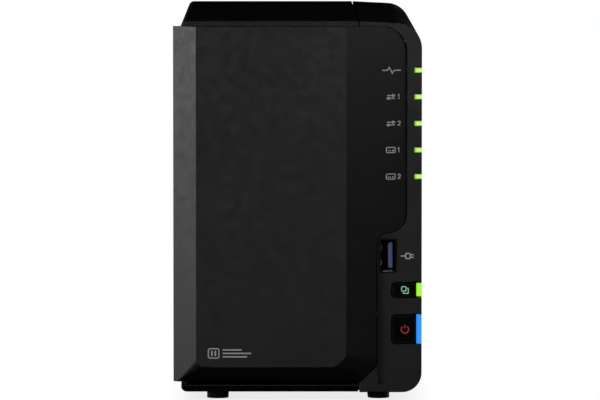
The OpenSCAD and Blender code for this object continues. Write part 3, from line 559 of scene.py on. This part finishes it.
class Mark:
    """Flat shapes in millimetres, laid on a node's surface as thin closed prisms."""

    SUNK = 0.04  # how far a prism reaches into the surface

    def __init__(self, node, x, z, lift=0.05, back=False):
        self.node = node
        self.x = x
        self.z = z
        self.lift = lift
        self.back = back
        self.verts = []
        self.faces = []

    def put(self, u, w):
        """A point over the surface and one under it. The first one's number is returned."""
        x = self.x - u if self.back else self.x + u
        point, normal = front_hit(self.node, x, self.z + w, self.back)
        self.verts += [point + normal * self.lift * MM, point - normal * self.SUNK * MM]
        return len(self.verts) - 2

    def solid(self, rows, closed):
        """rows are pairs of points across a stroke, in order."""
        ids = [(self.put(*left), self.put(*right)) for left, right in rows]
        n = len(ids)
        for i in range(n if closed else n - 1):
            (a, b), (c, d) = ids[i], ids[(i + 1) % n]
            self.faces += [(a, c, d, b), (a + 1, b + 1, d + 1, c + 1)]
            self.faces += [(a, a + 1, c + 1, c), (b, d, d + 1, b + 1)]
        if not closed:
            for (a, b), flip in ((ids[0], False), (ids[-1], True)):
                end = (a, b, b + 1, a + 1)
                self.faces.append(end[::-1] if flip else end)

    def line(self, points, width, closed=False):
        points = [Vector(p) for p in points]
        n = len(points)
        rows = []
        for i, p in enumerate(points):
            last = points[i - 1] if (i or closed) else None
            following = points[(i + 1) % n] if (i < n - 1 or closed) else None
            come = (p - last).normalized() if last is not None else (following - p).normalized()
            go = (following - p).normalized() if following is not None else come
            way = (come + go).normalized()
            side = Vector((-way.y, way.x)) * (width / 2 / max(0.5, way.dot(come)))
            rows.append((p + side, p - side))
        self.solid(rows, closed)

    def arc(self, centre, radius, width, start=0, end=360, steps=24):
        """An arc from one angle to another, in degrees."""
        full = end - start >= 360
        count = steps if full else steps + 1
        angles = [math.radians(start + (end - start) * i / steps) for i in range(count)]
        points = [(centre[0] + radius * math.cos(a), centre[1] + radius * math.sin(a))
                  for a in angles]
        self.line(points, width, full)

    def frame(self, lo, hi, width, radius=0.3, steps=4):
        """A rectangle with round corners."""
        right, top = hi[0] - radius, hi[1] - radius
        left, foot = lo[0] + radius, lo[1] + radius
        points = []
        for cx, cy, start in ((right, top, 0), (left, top, 90), (left, foot, 180), (right, foot, 270)):
            for i in range(steps + 1):
                a = math.radians(start + 90 * i / steps)
                points.append((cx + radius * math.cos(a), cy + radius * math.sin(a)))
        self.line(points, width, True)

    def digit(self, number, u, high=2.05, width=0.42):
        """A 1 or a 2, from u to the right."""
        if number == 1:
            self.line([(u, high * 0.78), (u + 0.42, high), (u + 0.42, 0)], width)
            return
        cx, cy = u + 0.5, high * 0.70
        angles = [math.radians(a) for a in range(170, -41, -30)]
        bow = [(cx + 0.5 * math.cos(a), cy + 0.3 * high * math.sin(a)) for a in angles]
        self.line(bow + [(u + 0.02, width / 2), (u + 1.1, width / 2)], width)

    def done(self, name, mat, body, slot):
        new(name, self.verts, self.faces, mat, body)


def network_sign(m, u):
    """Two arrows that point opposite ways."""
    for z, way in ((1.6, 1), (0.4, -1)):
        tip = u + 1.9 + way * 1.9
        m.line([(tip - way * 3.6, z), (tip - way * 0.9, z)], 0.42)
        m.line([(tip - way * 1.3, z + 0.5), (tip, z)], 0.4)
        m.line([(tip - way * 1.3, z - 0.5), (tip, z)], 0.4)


def drive_sign(m, u):
    """A drive seen from the side."""
    m.frame((u, -0.1), (u + 3.8, 2.15), 0.40, 0.4)
    m.line([(u + 0.8, 0.75), (u + 1.9, 0.75)], 0.40)
    m.arc((u + 2.85, 0.75), 0.24, 0.3, steps=10)


def plug_sign(m):
    """A plug with two prongs on a lead."""
    m.line([(-3.1, 0), (-1.18, 0)], 0.5)
    m.frame((-0.9, -1.1), (1.1, 1.1), 0.55, 0.4)
    for z in (-0.55, 0.55):
        m.line([(1.38, z), (2.7, z)], 0.5)


# the signs beside the status lights: a pulse line, two networks and two drives
LABEL_END = COVER[1].x / MM - 2.3
LABEL_DROP = 1.05  # a sign's foot is this far below the middle of its light

m = Mark("front_cover", LABEL_END - 8.2, LAMPS[0] - LABEL_DROP)
m.line([(0, 1.0), (2.1, 1.0), (3.0, 2.3), (4.3, -0.3), (5.2, 1.0), (8.0, 1.0)], 0.44)
m.done("mark_status", "print_grey", "front_cover", "cover_plastic")
for row, (kind, number) in enumerate((("network", 1), ("network", 2), ("drive", 1), ("drive", 2))):
    m = Mark("front_cover", LABEL_END - 6.4, LAMPS[row + 1] - LABEL_DROP)
    sign = network_sign if kind == "network" else drive_sign
    sign(m, 0)
    m.digit(number, 5.0)
    m.done("mark_%s_%d" % (kind, number), "print_grey", "front_cover", "cover_plastic")

# a plain sign at the lower left of the cover: a case with two bays and three rules
m = Mark("front_cover", COVER[0].x / MM + 15.3, 19.0)
m.frame((0, 0), (4.6, 4.1), 0.5, 0.8)
m.line([(1.55, 0.9), (1.55, 3.2)], 0.75)
m.line([(3.05, 0.9), (3.05, 3.2)], 0.75)
for row, length in enumerate((10.6, 12.4, 8.2)):
    m.line([(6.2, 0.55 + row * 1.5), (6.2 + length, 0.55 + row * 1.5)], 0.62)
m.done("mark_two_bays", "print_grey", "front_cover", "cover_plastic")

# the port sign beside the front socket
USB_Z = MOUNT["front_usb_port"].z / MM
m = Mark("right_shell", FASCIA.x / MM - 6.1, USB_Z - 0.2)
plug_sign(m)
m.done("mark_port", "print_grey", "chassis", "fascia_plastic")


def cap_mark(node):
    """A mark in the middle of a button, a little to the right."""
    lo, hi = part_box(node)
    return Mark(node, (lo.x + hi.x) / 2 / MM + 0.4, (lo.z + hi.z) / 2 / MM, 0.06)


m = cap_mark("copy_button")
m.frame((-1.45, -0.45), (0.45, 1.45), 0.36, 0.4)
m.line([(0.95, 0.75), (1.45, 0.75), (1.45, -1.45), (-0.75, -1.45), (-0.75, -0.95)], 0.36)
m.done("icon_copy", "icon_green", "copy_button", "copy_lens")
m = cap_mark("power_button")
m.arc((0, -0.1), 1.6, 0.36, 130, 410, 26)
m.line([(0, 0.4), (0, 1.95)], 0.36)
m.done("icon_power", "icon_red", "power_button", "power_lens")

# a raised rim round the cap of each button
for node in ("copy_button", "power_button"):
    lo, hi = (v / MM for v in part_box(node))
    m = Mark(node, 0, 0, 0.12)
    m.frame((lo.x + 0.55, lo.z + 0.55), (hi.x - 0.5, hi.z - 0.55), 0.5, 1.25, 6)
    m.done(node + "_rim", "button_frame", node, "button_plastic")


# ---------- sockets, in millimetres ----------

CONTACT_ROUND = 0.06
LEAF_THICK = 0.18
USB_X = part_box("usb_shells")[0].x / MM
USB_FLOOR = 2 * USB_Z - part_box("usb_shells")[1].z / MM + 0.35
MOUTH = FACE_Y / MM + 0.3
JACK_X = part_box("lan_jacks")[0].x / MM
JACK_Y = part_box("lan_jacks")[1].y / MM


def contacts(name, xs, ys, heights, half):
    """A row of contacts as one mesh: bars of one length above each other."""
    bm = bmesh.new()
    for z in heights:
        lo = Vector((xs[0], ys[0], z - half))
        hi = Vector((xs[1], ys[1], z + half))
        made = bmesh.ops.create_cube(bm, size=1)["verts"]
        for v in made:
            v.co = Vector((v.co[i] + 0.5) * (hi[i] - lo[i]) + lo[i] for i in range(3)) * MM
        edges = list(dict.fromkeys(e for v in made for e in v.link_edges))
        bmesh.ops.bevel(bm, geom=edges, offset=CONTACT_ROUND * MM, segments=2, profile=0.5,
                        affect="EDGES")
    me = bpy.data.meshes.new(name)
    bm.to_mesh(me)
    bm.free()
    finished(name, me, "gold_contact", "chassis", 40)


def spring(name, x, y0, y1, z, bulge, half, up=False):
    """A leaf pressed out of a socket's wall: out of its side, or up out of its floor."""
    verts, faces, steps = [], [], 9
    for i in range(steps):
        t = i / (steps - 1)
        out = bulge * math.sin(math.pi * t) ** 1.5
        y = y0 + (y1 - y0) * t
        for deep_by in (0, LEAF_THICK):
            for side in (-half, half):
                if up:
                    point = Vector((x - side, y, z + out + deep_by))
                else:
                    point = Vector((x + out + deep_by, y, z + side))
                verts.append(point * MM)
    for i in range(steps - 1):
        a, b = 4 * i, 4 * i + 4
        for p, q in ((0, 1), (1, 3), (3, 2), (2, 0)):
            faces.append((a + p, a + q, b + q, b + p))
    faces += [(0, 2, 3, 1), tuple(4 * steps - 4 + k for k in (0, 1, 3, 2))]
    new(name, verts, faces, "spring_steel", "chassis", 35)


contacts("usb_front_contacts", (USB_X + 3.42, USB_X + 3.66), (MOUTH + 2.4, MOUTH + 10),
         [USB_Z + k * 2.3 for k in (-1.5, -0.5, 0.5, 1.5)], 0.55)
for end, way in (("low", -1), ("high", 1)):
    spring("usb_front_spring_" + end, USB_X + 0.35, MOUTH + 1.2, MOUTH + 10.6, USB_Z + way * 3.2,
           0.8, 1.0)
spring("usb_front_spring_floor", USB_X + 3.3, MOUTH + 0.5, MOUTH + 5.0, USB_FLOOR, 0.75, 1.9, True)
for k in (1, 2):
    z = MOUNT["network_port_%d" % k].z / MM
    contacts("network_%d_contacts" % k, (JACK_X + 8.6, JACK_X + 10.0), (JACK_Y - 12.6, JACK_Y - 3.2),
             [z + (i - 3.5) * 1.02 for i in range(8)], 0.22)


# ---------- fan impeller with curved blades, in millimetres ----------

HUB = 16.2  # where the blades leave the hub
BLADES = 7
BLADE_STEPS = 9  # points from the hub to the tip
BLADE_ACROSS = 7  # points across a blade
RING = 56  # points round the hub


def impeller():
    """A hub with blades that widen, flatten and lean towards their tips."""
    lo, hi = (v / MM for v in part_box("fan_rotor"))
    cx, cz = (lo.x + hi.x) / 2, (lo.z + hi.z) / 2
    tip = (hi.x - lo.x) / 2 - 0.2
    y0, y1 = lo.y, hi.y
    verts, faces = [], []

    def put(radius, angle, y):
        point = Vector((cx + radius * math.cos(angle), y, cz + radius * math.sin(angle)))
        verts.append(point * MM)

    # the hub is a cup, turned round the axis: radius and depth of each ring
    cup = [(1.6, y0 + 2.3), (1.6, y0 + 0.2), (12.5, y0), (15.2, y0 + 0.5), (16.5, y0 + 1.8),
           (16.5, y1 - 0.3), (16.2, y1), (14.6, y1), (14.2, y1 - 0.3), (14.2, y0 + 2.6)]
    for radius, y in cup:
        for i in range(RING):
            put(radius, 2 * math.pi * i / RING, y)
    for j in range(len(cup)):
        a, b = j * RING, (j + 1) % len(cup) * RING
        for i in range(RING):
            beside = (i + 1) % RING
            faces.append((a + i, a + beside, b + beside, b + i))

    for k in range(BLADES):
        base = len(verts)
        for i in range(BLADE_STEPS):
            t = i / (BLADE_STEPS - 1)
            radius = HUB + (tip - HUB) * t
            chord = 17 + 9 * t
            pitch = math.radians(52 - 20 * t)
            lean = math.radians(16) * t * t
            for j in range(BLADE_ACROSS):
                u = j / (BLADE_ACROSS - 1) - 0.5
                camber = 1.7 * (1 - 4 * u * u)
                along = u * chord * math.cos(pitch) - camber * math.sin(pitch)
                depth = u * chord * math.sin(pitch) + camber * math.cos(pitch)
                angle = 2 * math.pi * k / BLADES + along / radius + lean
                y = (y0 + y1) / 2 - 0.6 + depth * 0.72
                thick = 0.75 * (1 - 0.75 * abs(2 * u) ** 3)
                put(radius, angle, y - thick)
                put(radius, angle, y + thick)

        def at(i, j, side):
            return base + (i * BLADE_ACROSS + j) * 2 + side

        for i in range(BLADE_STEPS - 1):
            for j in range(BLADE_ACROSS - 1):
                faces.append((at(i, j, 0), at(i, j + 1, 0), at(i + 1, j + 1, 0), at(i + 1, j, 0)))
                faces.append((at(i, j, 1), at(i + 1, j, 1), at(i + 1, j + 1, 1), at(i, j + 1, 1)))
            for j in (0, BLADE_ACROSS - 1):
                faces.append((at(i, j, 0), at(i + 1, j, 0), at(i + 1, j, 1), at(i, j, 1)))
        for i in (0, BLADE_STEPS - 1):
            for j in range(BLADE_ACROSS - 1):
                faces.append((at(i, j, 0), at(i, j, 1), at(i, j + 1, 1), at(i, j + 1, 0)))
    o = new("impeller", verts, faces, "fan_plastic", "fan_impeller", 35)
    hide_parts("fan_rotor")


impeller()


# ---------- marks on the back, in millimetres ----------

for k in (1, 2):
    m = Mark("rear_panel", JACK_X - 1.6, MOUNT["network_port_%d" % k].z / MM - 1, back=True)
    network_sign(m, 0)
    m.digit(k, 4.6)
    m.done("mark_rear_network_%d" % k, "print_grey", "chassis", "panel_steel")
m = Mark("rear_panel", JACK_X - 4.6, MOUNT["rear_usb_port"].z / MM, back=True)
plug_sign(m)
m.done("mark_rear_port", "print_grey", "chassis", "panel_steel")
m = Mark("rear_panel", JACK_X - 4.6, MOUNT["power_inlet_socket"].z / MM, back=True)
m.arc((0, 0), 1.6, 0.32, 30, 330, 22)
m.arc((0, 0), 0.35, 0.4, steps=12)
m.line([(0.5, 0), (3.0, 0)], 0.3)
m.done("mark_rear_inlet", "print_grey", "chassis", "panel_steel")


# ---------- camera ----------

PITCH = 0.0741  # how far the camera looks down, in radians
YAW = 0.00404  # how far it looks to the right


def aim(o, way):
    """Turns a camera or a light towards a direction."""
    o.rotation_mode = "QUATERNION"
    o.rotation_quaternion = way.to_track_quat("-Z", "Y")


cam_data = bpy.data.cameras.new("camera")
cam_data.sensor_width = 36
cam_data.lens = 336.4
cam_data.clip_start = 0.05
cam_data.clip_end = 60
cam = in_scene("camera", cam_data)
cam.location = (-0.0087, -2.538, 0.2676)
level = math.cos(PITCH)
aim(cam, Vector((math.sin(YAW) * level, math.cos(YAW) * level, -math.sin(PITCH))))
bpy.context.scene.camera = cam


# ---------- stage ----------

FLOOR_HALF = 14.0
FLOOR_DROP = 0.0002  # the floor lies just under the feet
CONTACT_REACH = 0.012  # how near a piece the painted contact shadow on the floor starts
SHADOW_X = (0.040, 0.052)  # distances from the middle between which the painted shadow under the case ends
SHADOW_Y = (0.048, 0.058)
WORLD_DIM = 0.002  # the light that the surroundings give


def stage_floor():
    """A floor that is white to the camera and gives hardly any light back, with a painted contact
    shadow near the pieces and a painted shadow under the middle of the case.
    """
    me = bpy.data.meshes.new("floor")
    far = FLOOR_HALF
    me.from_pydata([(-far, -far, 0), (far, -far, 0), (far, far, 0), (-far, far, 0)], [], [(0, 1, 2, 3)])
    o = in_scene("floor", me)
    o.location.z = -FLOOR_DROP
    mat = bpy.data.materials.new("pale_floor")
    t = Tree(mat)
    out = t.add("ShaderNodeOutputMaterial")
    # painted contact shadow: the floor's white fades to grey where a piece is near
    near = t.add("ShaderNodeAmbientOcclusion", samples=8)
    near.inputs["Distance"].default_value = CONTACT_REACH
    where = t.coords()
    grain = t.noise(where, 60, 4)
    shadow_grey = t.mix(grain, (0.76, 0.76, 0.76), (0.82, 0.82, 0.82))
    white_with_contact_shadow = t.mix(t.span(near.outputs["AO"], 0.0, 0.8, 0, 1), shadow_grey, (1, 1, 1))
    # a painted shadow under the middle of the case, where the floor shows through the bottom vents
    x, y, _ = t.split(where)
    wide = t.span(t.math("ABSOLUTE", x), *SHADOW_X, 1, 0)
    far_in = t.span(t.math("ABSOLUTE", y), *SHADOW_Y, 1, 0)
    glow = t.add("ShaderNodeEmission")
    t.link(t.mix(t.math("MULTIPLY", wide, far_in), white_with_contact_shadow, (0.012, 0.012, 0.012)), glow.inputs["Color"])
    glow.inputs["Strength"].default_value = 1.0
    dim = t.add("ShaderNodeBsdfDiffuse")
    dim.inputs["Color"].default_value = (0.04, 0.04, 0.04, 1)
    t.for_camera(glow, dim, out)
    me.materials.append(mat)
    o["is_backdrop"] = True


def surroundings():
    """White to the camera, nearly dark to everything else."""
    world = bpy.data.worlds.new("studio")
    bpy.context.scene.world = world
    t = Tree(world)
    out = t.add("ShaderNodeOutputWorld")
    shades = []
    for strength in (1.0, WORLD_DIM):
        shade = t.add("ShaderNodeBackground")
        shade.inputs[0].default_value = (1, 1, 1, 1)
        shade.inputs[1].default_value = strength
        shades.append(shade)
    t.for_camera(shades[0], shades[1], out)


stage_floor()
surroundings()

MID = (LO0 + HI0) / 2
LIGHTS = {  # place, width, height, power
    "left_side": ((-1.0, -0.30, 0.27), 0.7, 0.5, 5.5),
    "front_low": ((0.0, -1.5, 0.12), 0.6, 0.25, 1.3),
    "front_high": ((0.1, -1.6, 1.5), 1.3, 0.7, 1.2),
    "right_near": ((0.16, -0.32, 0.265), 0.12, 0.12, 0.16),
    "overhead": ((0.0, -0.1, 1.7), 1.1, 1.1, 1.0),
    "back_right": ((1.1, 0.7, 0.085), 0.8, 0.15, 7),
    "back_left": ((-1.1, 0.9, 0.085), 0.8, 0.15, 4),
}
for name, (place, wide, high, power) in LIGHTS.items():
    lamp = bpy.data.lights.new(name, "AREA")
    lamp.shape = "RECTANGLE"
    lamp.size = wide
    lamp.size_y = high
    lamp.energy = power
    o = in_scene(name, lamp)
    o.location = place
    o.visible_camera = False
    aim(o, MID - Vector(place))

scene = bpy.context.scene
scene.view_settings.view_transform = "Standard"
scene.view_settings.look = "None"

lo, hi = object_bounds()
